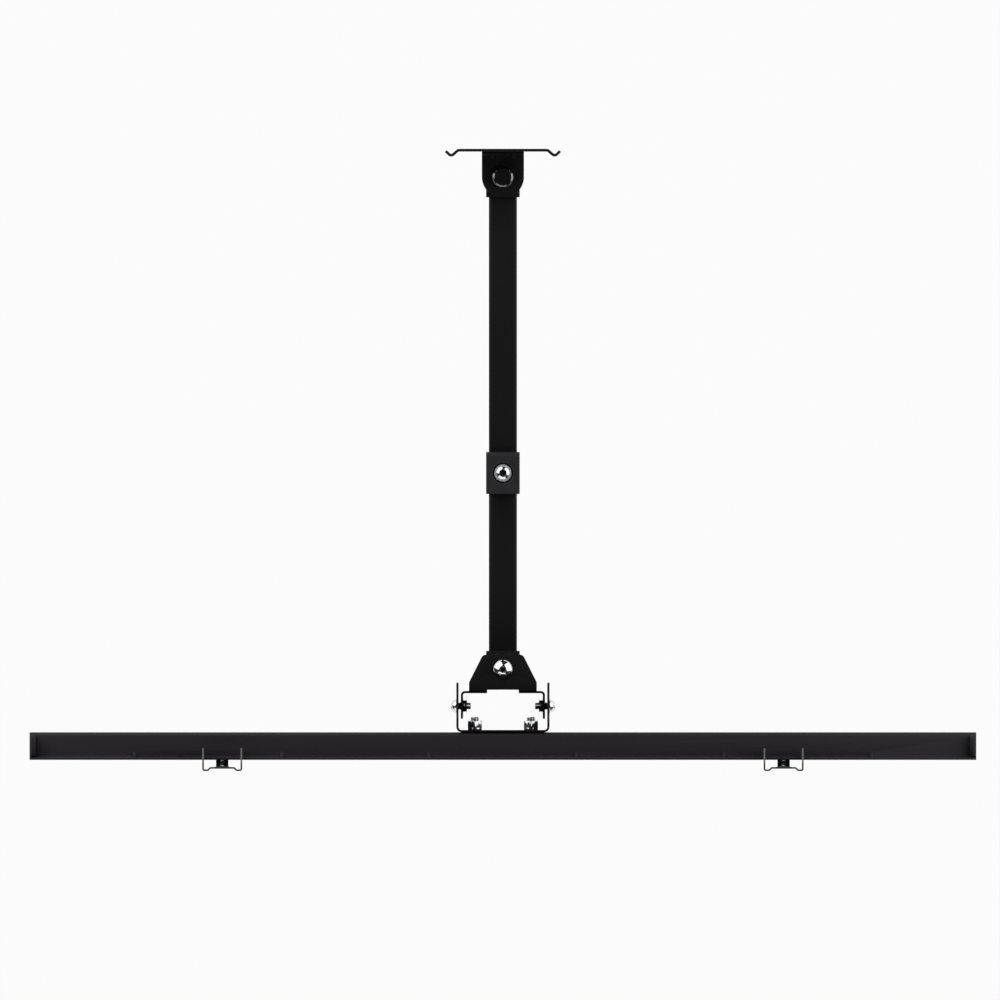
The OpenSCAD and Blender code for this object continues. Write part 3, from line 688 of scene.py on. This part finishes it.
@dataclass(frozen=True)
class Screw:
    """A headed screw, drawn with its seat at height 0 and its head up.

    Attributes:
        head_d: Diameter of the head.
        head_h: Height of the head over the seat.
        shank_d: Outer diameter of the thread.
        pitch: Rise of the thread in one turn.
        thread_l: Length of thread at the end of the shank.
        length: Length below the seat, or 0 where it is taken from the node.
        rim_h: Height of the straight wall under the dome.
        rim_r: Radius of the rim of a flat head, or 0 for a domed one.
        socket: Width across the flats of the hexagon socket, or 0 for a plain head.
        flange_d: Diameter of a flange under the head, or 0.
        flange_h: Thickness of that flange.
        edge: Radius left on the edges of the head.
        flange_edge: Bevel on the rim of the flange.
    """

    head_d: float
    head_h: float
    shank_d: float
    pitch: float
    thread_l: float
    length: float = 0.0
    rim_h: float = 0.6 * MM
    rim_r: float = 0.0
    socket: float = 0.0
    flange_d: float = 0.0
    flange_h: float = 0.0
    edge: float = 0.12 * MM
    flange_edge: float = 0.25 * MM

    @property
    def socket_depth(self) -> float:
        """Depth of the socket under the crown."""
        return 0.6 * self.head_h

    @property
    def socket_reach(self) -> float:
        """Distance from the axis to a corner of the socket."""
        return self.socket / 2 / math.cos(math.pi / 6)

    def crown(self) -> list[Point]:
        """Half section of the top of the head.

        Returns:
            The points, from the axis out to the straight wall.
        """
        half = self.head_d / 2
        if self.rim_r > 0:
            quarter = arc(self.rim_r, self.head_h - self.rim_r, 0.0, self.rim_r, RIM_STEPS)
            return [(0.0, self.head_h), *((r + half - self.rim_r, z) for r, z in quarter)]
        rise = self.head_h - self.flange_h - self.rim_h
        ball = (half * half + rise * rise) / (2 * rise)
        return arc(ball, self.head_h - ball, 0.0, half, DOME_STEPS)

    def head_profile(self) -> list[Point]:
        """Half section of the head and the plain shank.

        Returns:
            The points, from the crown to the end of the plain shank.
        """
        profile = [*self.crown(), (self.head_d / 2, self.flange_h)]
        if self.flange_d > 0:
            rim = self.flange_d / 2
            profile += [(rim - self.flange_edge, self.flange_h),
                        (rim, self.flange_h - self.flange_edge), (rim, 0.0)]
        plain_end = self.thread_l - self.length - THREAD_OVERLAP * self.pitch
        shank = self.shank_d / 2
        return [*profile, (shank, 0.0), (shank, plain_end), (0.0, plain_end)]

    def zone(self, face: bpy.types.MeshPolygon) -> Zone:
        """Tells which finish a face of the screw has.

        Args:
            face: A face of the screw, which stands at the origin.

        Returns:
            The zone; the shank counts as crown.
        """
        radial, height = math.hypot(*face.center.xy), face.center.z
        upright = abs(face.normal.z) < WALL_NORMAL_Z
        sunk = upright or height < self.head_h - self.socket_depth / 2
        # Faces inside the socket take black zinc, painted shade in the recess.
        if 0 < height and radial < self.socket_reach and sunk:
            return Zone.SOCKET
        if self.flange_d > 0 and radial > self.head_d / 2 and height > -WELD_DISTANCE:
            return Zone.FLANGE
        return Zone.CROWN

    def build(self, name: str) -> bpy.types.Object:
        """Models the screw at the origin.

        Args:
            name: Name of the new object.

        Returns:
            The finished screw.
        """
        piece = turned(name, self.head_profile())
        if self.socket > 0:
            deselect()
            bpy.ops.mesh.primitive_cylinder_add(
                vertices=6,
                radius=self.socket_reach,
                depth=2 * self.socket_depth,
                location=(0, 0, self.head_h),
            )
            carved(piece, bpy.context.active_object, "DIFFERENCE")
        rounded_edges(piece, self.edge)
        thread = threaded("thread", self.shank_d / 2, self.pitch, self.thread_l - self.length,
                          -self.length)
        solo(thread)
        bpy.ops.object.shade_smooth_by_angle(angle=math.radians(THREAD_SMOOTH_DEG))
        piece.select_set(True)
        bpy.context.view_layer.objects.active = piece
        bpy.ops.object.join()
        return piece


class Workshop:
    """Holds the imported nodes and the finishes, and dresses every piece with them."""

    def __init__(self, nodes: dict[str, bpy.types.Object]) -> None:
        """Builds the finishes.

        Args:
            nodes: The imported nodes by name.
        """
        self.nodes = nodes
        self.finishes = {finish.coat: finish.material() for finish in FINISHES}
        self.bodies = {name: body_of(node)[0] for name, node in nodes.items()}

    def dress(self, piece: bpy.types.Object, coat: Coat, node: str) -> bpy.types.Object:
        """Coats a finished piece and puts it in the place of its node.

        Args:
            piece: The finished mesh.
            coat: Its finish.
            node: Node that the piece stands for.

        Returns:
            The same piece.
        """
        piece.data.materials.clear()
        piece.data.materials.append(self.finishes[coat])
        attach(piece, self.bodies[node])
        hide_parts(node)
        log.info("%s rides on %s, %d faces", piece.name, self.bodies[node],
                 len(piece.data.polygons))
        return piece

    def refine(
        self, node: str, coat: Coat, radius: float, cuts: Sequence[tuple[Vector, Vector]] = ()
    ) -> bpy.types.Object:
        """Copies a node, welds it, trims it and rounds its edges.

        Args:
            node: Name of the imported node.
            coat: Its finish.
            radius: Radius left on its edges.
            cuts: Low and high corner of each box that is cut away.

        Returns:
            The piece that stands for the node.
        """
        source = self.nodes[node]
        piece = source.copy()
        piece.data = source.data.copy()
        piece.name = f"{node}_finished"
        # The tags that the frame puts on its nodes stay off the copy.
        piece.parent = None
        for tag in list(piece.keys()):
            del piece[tag]
        bpy.context.scene.collection.objects.link(piece)
        with editing(piece):
            bpy.ops.mesh.customdata_custom_splitnormals_clear()
            bpy.ops.mesh.remove_doubles(threshold=WELD_DISTANCE)
            bpy.ops.mesh.dissolve_limited(angle_limit=math.radians(COPLANAR_DEG))
        for low, high in cuts:
            deselect()
            bpy.ops.mesh.primitive_cube_add(size=1, location=(low + high) / 2, scale=high - low)
            carved(piece, bpy.context.active_object, "DIFFERENCE")
        rounded_edges(piece, radius)
        return self.dress(piece, coat, node)

    def fit(
        self, screw: Screw, name: str, seat: Vector, facing: Facing, coat: Coat, node: str
    ) -> bpy.types.Object:
        """Models a screw and puts it in its hole.

        Args:
            screw: Shape of the screw.
            name: Name of the new piece.
            seat: Point under the middle of the head.
            facing: Way that the head faces.
            coat: Its finish.
            node: Node that it stands for.

        Returns:
            The fitted screw.
        """
        piece = screw.build(name)
        zones = [int(screw.zone(face)) for face in piece.data.polygons]
        solo(piece)
        piece.rotation_euler = facing.value
        piece.location = seat
        bpy.ops.object.transform_apply(location=True, rotation=True, scale=True)
        self.dress(piece, coat, node)
        # Slot 1 puts black zinc in the socket as painted shade; slot 2 puts dull zinc on the
        # flange.
        for inner in (Coat.BLACK_ZINC, Coat.DULL_ZINC):
            piece.data.materials.append(self.finishes[inner])
        for face, zone in zip(piece.data.polygons, zones):
            face.material_index = zone
        return piece

    def hang(self, screw: Screw, node: str, facing: Facing, coat: Coat) -> bpy.types.Object:
        """Fits an upright bolt in the place and the length of its node.

        Args:
            screw: Shape of the bolt; its length is taken from the node.
            node: Node that it stands for.
            facing: UP or DOWN.
            coat: Its finish.

        Returns:
            The fitted bolt.
        """
        low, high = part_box(node)
        seat = middle(node)
        seat.z = high.z - screw.head_h if facing is Facing.UP else low.z + screw.head_h
        sized = replace(screw, length=high.z - low.z - screw.head_h)
        return self.fit(sized, f"{node}_finished", seat, facing, coat, node)


def middle(node: str) -> Vector:
    """Middle of a node's box."""
    low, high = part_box(node)
    return (low + high) / 2


@dataclass
class WallHinge:
    """Wall plate, the two hinge ears on it and the bolt of the wall pivot.

    Attributes:
        sheet_edge: Radius left on the edges of the sheets.
        nut_edge: Radius left on the edges of the washer and the nut.
        bolt: Bolt of the wall pivot.
    """

    sheet_edge: float = 0.35 * MM
    nut_edge: float = 0.2 * MM
    bolt: Screw = Screw(head_d=15.6 * MM, head_h=4.2 * MM, rim_r=2.4 * MM, shank_d=10 * MM,
                        pitch=1.5 * MM, thread_l=13 * MM)

    def build(self, shop: Workshop) -> None:
        """Builds the wall side of the mount.

        Args:
            shop: The workshop.
        """
        for node in ("wall_plate", "upper_hinge_ear", "lower_hinge_ear"):
            shop.refine(node, Coat.POWDER, self.sheet_edge)
        shop.hang(self.bolt, "wall_pivot_bolt", Facing.UP, Coat.BLACK_ZINC)
        for node in ("wall_pivot_washer", "wall_pivot_nut"):
            shop.refine(node, Coat.BRIGHT_ZINC, self.nut_edge)


@dataclass
class RearArm:
    """Two tubes between the wall knuckle and the elbow blocks, with the elbow's bolt.

    Attributes:
        knuckle_edge: Radius left on the edges of the knuckles.
        tube_edge: Radius left on the ends of the tubes.
        cap_edge: Radius left on the edges of the moulded covers.
        bush_edge: Radius left on the edges of the bushes and the nut.
        bolt: Bolt of the elbow.
    """

    knuckle_edge: float = 0.5 * MM
    tube_edge: float = 0.25 * MM
    cap_edge: float = 0.3 * MM
    bush_edge: float = 0.2 * MM
    bolt: Screw = Screw(head_d=9.2 * MM, head_h=4.8 * MM, rim_h=0.9 * MM, socket=5 * MM,
                        flange_d=12.6 * MM, flange_h=2.6 * MM, shank_d=8 * MM,
                        pitch=1.25 * MM, thread_l=12 * MM)

    def build(self, shop: Workshop) -> None:
        """Builds the rear arm and the elbow's covers and bolt.

        Args:
            shop: The workshop.
        """
        for node in ("rear_wall_knuckle", "elbow_upper_knuckle", "elbow_lower_knuckle"):
            shop.refine(node, Coat.POWDER, self.knuckle_edge)
        for node in ("rear_upper_tube", "rear_lower_tube"):
            shop.refine(node, Coat.POWDER, self.tube_edge)
        for node in ("elbow_upper_cap", "elbow_lower_cap"):
            shop.refine(node, Coat.MOULDING, self.cap_edge)
        shop.refine("wall_pivot_bushes", Coat.NYLON, self.bush_edge)
        shop.hang(self.bolt, "elbow_bolt", Facing.UP, Coat.CHROME)
        shop.refine("elbow_nut", Coat.BRIGHT_ZINC, self.bush_edge)


@dataclass
class FrontArm:
    """Front tube between its two knuckles, with their bushes.

    Attributes:
        knuckle_edge: Radius left on the edges of the knuckles.
        tube_edge: Radius left on the ends of the tube.
        bush_edge: Radius left on the edges of the bushes.
    """

    knuckle_edge: float = 0.5 * MM
    tube_edge: float = 0.25 * MM
    bush_edge: float = 0.2 * MM

    def build(self, shop: Workshop) -> None:
        """Builds the front arm.

        Args:
            shop: The workshop.
        """
        for node in ("front_elbow_knuckle", "front_head_knuckle"):
            shop.refine(node, Coat.POWDER, self.knuckle_edge)
        shop.refine("front_tube", Coat.POWDER, self.tube_edge)
        for node in ("elbow_bushes", "head_pivot_bushes"):
            shop.refine(node, Coat.NYLON, self.bush_edge)


@dataclass
class Head:
    """Swivel head: its bracket, its pivot bolt and the screws of the tilt joint.

    Attributes:
        sheet_edge: Radius left on the edges of the bracket.
        nut_edge: Radius left on the edges of the nuts.
        pivot: Bolt of the head pivot.
        tilt: Screw of the tilt joint, four times.
    """

    sheet_edge: float = 0.3 * MM
    nut_edge: float = 0.2 * MM
    pivot: Screw = Screw(head_d=14 * MM, head_h=4.4 * MM, rim_h=1.0 * MM, socket=4 * MM,
                         shank_d=8 * MM, pitch=1.25 * MM, thread_l=12 * MM)
    tilt: Screw = Screw(head_d=9.5 * MM, head_h=4.4 * MM, rim_h=0.5 * MM, socket=3 * MM,
                        shank_d=5 * MM, pitch=0.8 * MM, thread_l=5.5 * MM, length=10.3 * MM)

    def build(self, shop: Workshop) -> None:
        """Builds the head.

        Args:
            shop: The workshop.
        """
        shop.refine("head_bracket", Coat.POWDER, self.sheet_edge)
        shop.hang(self.pivot, "head_pivot_bolt", Facing.UP, Coat.CHROME)
        shop.refine("head_pivot_nut", Coat.BRIGHT_ZINC, self.nut_edge)
        for node in ("tilt_pivot_screws", "tilt_lock_screws"):
            self.fit_pair(shop, node)
        shop.refine("tilt_nuts", Coat.BLACK_ZINC, self.nut_edge)

    def fit_pair(self, shop: Workshop, node: str) -> None:
        """Fits the left and the right screw of one pair.

        Args:
            shop: The workshop.
            node: Node of the pair.
        """
        low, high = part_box(node)
        for side, facing in (("left", Facing.LEFT), ("right", Facing.RIGHT)):
            seat = middle(node)
            seat.x = low.x + self.tilt.head_h if side == "left" else high.x - self.tilt.head_h
            shop.fit(self.tilt, f"{node[:-1]}_{side}", seat, facing, Coat.CHROME, node)


@dataclass
class TiltBracket:
    """Bent bracket that tips on the head and carries the rails."""

    sheet_edge: float = 0.3 * MM

    def build(self, shop: Workshop) -> None:
        """Builds the tilt bracket."""
        shop.refine("tilt_bracket", Coat.POWDER, self.sheet_edge)


@dataclass
class Rails:
    """Upper and lower rail, their end stops and their bolts.

    Attributes:
        sheet_edge: Radius left on the edges of the rails.
        stop_edge: Radius left on the edges of the end stops.
        nut_edge: Radius left on the edges of the nuts.
        washer_edge: Radius left on the edges of the washers.
        bolt: Bolt of a rail, four times.
    """

    sheet_edge: float = 0.25 * MM
    stop_edge: float = 0.3 * MM
    nut_edge: float = 0.2 * MM
    washer_edge: float = 0.1 * MM
    bolt: Screw = Screw(head_d=13 * MM, head_h=3.4 * MM, shank_d=6 * MM, pitch=1.0 * MM,
                        thread_l=9 * MM, length=12.7 * MM)

    def build(self, shop: Workshop) -> None:
        """Builds the rails.

        Args:
            shop: The workshop.
        """
        for node in ("upper_rail", "lower_rail"):
            shop.refine(node, Coat.RAIL, self.sheet_edge)
        # The end stops take the lighter moulding copy, painted light against their own shade.
        shop.refine("rail_end_stops", Coat.MOULDING_PAINTED_LIGHT, self.stop_edge)
        shop.refine("rail_washers", Coat.BRIGHT_ZINC, self.washer_edge)
        shop.refine("rail_nuts", Coat.BRIGHT_ZINC, self.nut_edge)
        low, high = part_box("rail_bolts")
        inset = self.bolt.head_d / 2
        for side, x in (("left", low.x + inset), ("right", high.x - inset)):
            for level, z in (("lower", low.z + inset), ("upper", high.z - inset)):
                seat = Vector((x, low.y + self.bolt.head_h, z))
                shop.fit(self.bolt, f"rail_bolt_{level}_{side}", seat, Facing.ROOM,
                         Coat.BRIGHT_ZINC, "rail_bolts")


@dataclass
class ScreenBracket:
    """One hook-on screen bracket with its claw and lock screw.

    Attributes:
        side: left or right.
        sheet_edge: Radius left on the edges of the sheet.
        claw_edge: Radius left on the edges of the claw.
        tab_half: Half the width that is left of the lock tab.
        tab_depths: Distance of the tab's cut from the wall, at its front and its back.
        tab_z: Height of the tab.
        tab_room: How far the cut reaches over and under the middle of the tab.
        screw: Lock screw.
    """

    side: str
    sheet_edge: float = 0.22 * MM
    claw_edge: float = 0.35 * MM
    tab_half: float = 4.4 * MM
    tab_depths: Point = (440.3 * MM, 429.8 * MM)
    tab_z: float = -131.77 * MM
    tab_room: float = 0.9 * MM
    screw: Screw = Screw(head_d=5.3 * MM, head_h=3 * MM, rim_h=1.8 * MM, socket=2.5 * MM,
                         shank_d=4 * MM, pitch=0.7 * MM, thread_l=30 * MM)

    def tab_cuts(self) -> list[tuple[Vector, Vector]]:
        """Finds the boxes that narrow the lock tab to the width of the claw.

        Returns:
            Low and high corner of the box on each side of the tab.
        """
        centre, half = middle(f"{self.side}_bracket").x, self.tab_half
        front, back = self.tab_depths
        return [(Vector((centre + start, -front, self.tab_z - self.tab_room)),
                 Vector((centre + start + half, -back, self.tab_z + self.tab_room)))
                for start in (half, -2 * half)]

    def build(self, shop: Workshop) -> None:
        """Builds the bracket.

        Args:
            shop: The workshop.
        """
        # The bracket's lighter satin copy of the rail coat paints a highlight on its edges; its
        # gloss is real.
        shop.refine(f"{self.side}_bracket", Coat.BRACKET_SATIN_PAINTED_LIGHT, self.sheet_edge, self.tab_cuts())
        shop.refine(f"{self.side}_claw", Coat.CLAW, self.claw_edge)
        shop.hang(self.screw, f"{self.side}_lock_screw", Facing.DOWN, Coat.CHROME)


@dataclass(frozen=True)
class Softbox:
    """One softbox that leans over the object from one side.

    Attributes:
        azimuth_deg: Direction from the object, turning from +X to +Y.
        radiance: Brightness of the panel, where 1 is white.
        width: Width of the panel.
        height: Height of the panel.
        distance: Distance of its middle from the aim point.
        elevation_deg: Height of its middle over the aim point, as an angle.
    """

    azimuth_deg: float
    radiance: float
    width: float = 1.95
    height: float = 1.6
    distance: float = 1.5
    elevation_deg: float = 29.0

    def place(self, aim: Vector) -> None:
        """Puts the lamp in the scene.

        Args:
            aim: Point that the lamp faces.
        """
        lamp = bpy.data.lights.new(f"softbox_{self.azimuth_deg:.0f}", "AREA")
        lamp.shape = "RECTANGLE"
        lamp.size = self.width
        lamp.size_y = self.height
        lamp.energy = self.radiance * math.pi * self.width * self.height
        holder = bpy.data.objects.new(lamp.name, lamp)
        bpy.context.scene.collection.objects.link(holder)
        azimuth, elevation = math.radians(self.azimuth_deg), math.radians(self.elevation_deg)
        outward = Vector((math.cos(azimuth) * math.cos(elevation),
                          math.sin(azimuth) * math.cos(elevation), math.sin(elevation)))
        holder.location = aim + self.distance * outward
        holder.rotation_mode = "QUATERNION"
        holder.rotation_quaternion = (-outward).to_track_quat("-Z", "Y")
        holder.visible_camera = False


@dataclass
class Studio:
    """Floor, softboxes, world and camera of the picture.

    Attributes:
        picture: Side of the square that the camera sees.
        eye: Point over which the camera hangs, looking straight down.
        eye_height: Height of the camera.
        view_depth: Distance from the camera to which it sees.
        floor_drop: Depth of the floor under the middle of the mount.
        floor_radius: Radius of the round floor.
        floor_sides: Number of sides of the round floor.
        floor_paint: Colour of the floor, where 1 is white.
        floor_glow: Share of plain white in the floor under the mount, as it is seen.
        fade: Distances from the middle between which the floor turns wholly white.
        overhead: Brightness of the world over the horizon.
        horizon_slope: How sharply the world changes at the horizon.
        aim_z: Height that the lamps are turned to.
        lamps: The softboxes.
    """

    picture: float = 0.7125
    eye: Point = (-2.07 * MM, -250.23 * MM)
    eye_height: float = 1.6
    view_depth: float = 10.0
    floor_drop: float = 1.2
    floor_radius: float = 3.2
    floor_sides: int = 96
    floor_paint: float = 0.9
    floor_glow: float = 0.93
    fade: tuple[float, float] = (0.9, 2.1)
    overhead: float = 0.03
    horizon_slope: float = 25.0
    aim_z: float = 0.1
    lamps: tuple[Softbox, ...] = (Softbox(139, 2.0), Softbox(21, 2.0), Softbox(258, 1.15))

    def build(self) -> None:
        """Builds the studio."""
        self.hang_camera()
        self.lay_floor()
        self.light_world()
        for lamp in self.lamps:
            lamp.place(Vector((*self.eye, self.aim_z)))
        bpy.context.scene.view_settings.view_transform = "Standard"

    def hang_camera(self) -> None:
        """Hangs a camera over the mount, with the wall at the top of the picture."""
        data = bpy.data.cameras.new("plan_camera")
        data.type = "ORTHO"
        data.ortho_scale = self.picture
        data.clip_end = self.view_depth
        camera = bpy.data.objects.new("plan_camera", data)
        camera.location = (*self.eye, self.eye_height)
        bpy.context.scene.collection.objects.link(camera)
        bpy.context.scene.camera = camera

    def lay_floor(self) -> None:
        """Lays a pale round floor that keeps the soft shadow of the mount."""
        deselect()
        bpy.ops.mesh.primitive_circle_add(
            vertices=self.floor_sides,
            radius=self.floor_radius,
            fill_type="NGON",
            location=(*self.eye, -self.floor_drop),
        )
        floor = bpy.context.active_object
        floor.name = "floor"
        owner = bpy.data.materials.new("pale_floor")
        graph = Graph(owner)
        seen = self.seen_directly(graph)
        distance = graph.add(
            "ShaderNodeVectorMath", {"operation": "LENGTH"}, {0: graph.places()}
        ).outputs["Value"]
        start, end = self.fade
        far = ((Value(graph, distance) - start) / (end - start)).clamped()
        pale = shaded(WHITE, self.floor_paint)
        paint = graph.add("ShaderNodeBsdfDiffuse", inputs={"Color": (*pale, 1.0)})
        glow = graph.add(
            "ShaderNodeEmission", inputs={"Color": (*WHITE, 1.0), "Strength": 1.0}
        )
        mixed = graph.add(
            "ShaderNodeMixShader",
            inputs={
                0: seen * (self.floor_glow + (1 - self.floor_glow) * far),
                1: paint.outputs[0],
                2: glow.outputs[0],
            },
        )
        graph.surface(mixed.outputs[0], "ShaderNodeOutputMaterial")
        floor.data.materials.append(owner)

    @staticmethod
    def seen_directly(graph: Graph) -> Value:
        """Tells rays that show the floor from those that only bring its soft light.

        Args:
            graph: Nodes of the floor's material.

        Returns:
            1 for a ray that shows the floor itself or its mirror image, and 0 for another.
        """
        path = graph.add("ShaderNodeLightPath")
        camera, glossy, transmission = (
            Value(graph, path.outputs[f"Is {kind} Ray"])
            for kind in ("Camera", "Glossy", "Transmission")
        )
        return (camera + glossy + transmission).clamped()

    def light_world(self) -> None:
        """Makes the world white below the horizon and nearly black overhead."""
        world = bpy.data.worlds.new("studio")
        bpy.context.scene.world = world
        graph = Graph(world)
        direction = graph.add("ShaderNodeTexCoord").outputs["Generated"]
        parts = graph.add("ShaderNodeSeparateXYZ", inputs={0: direction})
        height = Value(graph, parts.outputs["Z"])
        above = (height * self.horizon_slope + 0.5).clamped()
        colour = graph.blend(above, WHITE, shaded(WHITE, self.overhead))
        glow = graph.add("ShaderNodeBackground", inputs={"Color": colour, "Strength": 1.0})
        graph.surface(glow.outputs[0], "ShaderNodeOutputWorld")


def main() -> None:
    """Builds the mount from the wall outwards, and then the studio round it."""
    logging.basicConfig(level=logging.INFO, format="%(message)s")
    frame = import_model()
    shop = Workshop(frame["nodes"])
    assemblies = (
        WallHinge(), RearArm(), FrontArm(), Head(), TiltBracket(), Rails(),
        ScreenBracket("left"), ScreenBracket("right"),
    )
    for assembly in assemblies:
        log.info("building %s", type(assembly).__name__)
        assembly.build(shop)
    Studio().build()


if __name__ == "__main__":
    main()
